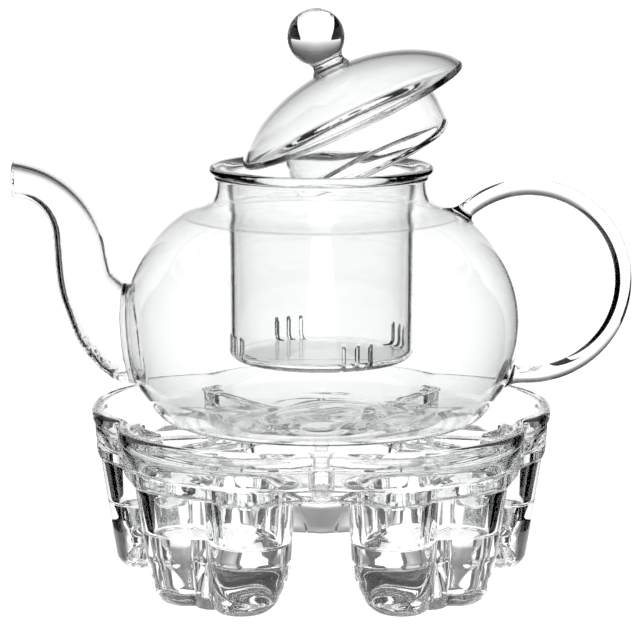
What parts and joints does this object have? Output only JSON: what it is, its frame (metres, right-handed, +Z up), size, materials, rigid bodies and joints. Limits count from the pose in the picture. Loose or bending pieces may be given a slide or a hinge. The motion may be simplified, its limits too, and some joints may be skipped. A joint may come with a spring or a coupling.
{
  "type": "glass teapot with warmer",
  "caption": "Round blown glass teapot with a slitted glass strainer cup and a ball-knob lid propped open, standing on a pressed flower-shaped glass candle warmer.",
  "frame": {"origin": "on the table plane, below the middle of the set's outline", "axes": "+Z up along the pot's axis, -X towards the spout, +X towards the handle, -Y towards the front"},
  "size_m": [0.221, 0.1634, 0.2044],
  "materials": {
    "warmer_glass": "pressed clear glass, fire-polished, faintly wavy",
    "pot_glass": "blown clear borosilicate glass, polished",
    "strainer_glass": "blown clear borosilicate glass with sawn slits",
    "lid_glass": "blown clear borosilicate glass, polished",
    "knob_glass": "solid clear glass, polished"
  },
  "bodies": {
    "warmer": {"warmer_rim": "warmer_glass", "warmer_floor": "warmer_glass", "warmer_leg_back": "warmer_glass", "warmer_leg_left": "warmer_glass", "warmer_leg_front_left": "warmer_glass", "warmer_leg_front_right": "warmer_glass", "warmer_leg_right": "warmer_glass"},
    "pot": {"pot_body": "pot_glass", "spout": "pot_glass", "handle": "pot_glass"},
    "strainer": {"infuser": "strainer_glass"},
    "lid": {"lid_dome": "lid_glass", "lid_collar": "lid_glass", "lid_neck": "knob_glass", "lid_knob": "knob_glass"}
  },
  "joints": [
    {"name": "pot_lift", "type": "slide", "parent": "warmer", "child": "pot", "axis": [0, 0, 1], "range_m": [0, 0.08]},
    {"name": "strainer_lift", "type": "slide", "parent": "pot", "child": "strainer", "axis": [0, 0, 1], "range_m": [0, 0.09]},
    {"name": "lid_lift", "type": "slide", "parent": "strainer", "child": "lid", "axis": [0, 0, 1], "range_m": [0, 0.05]}
  ]
}
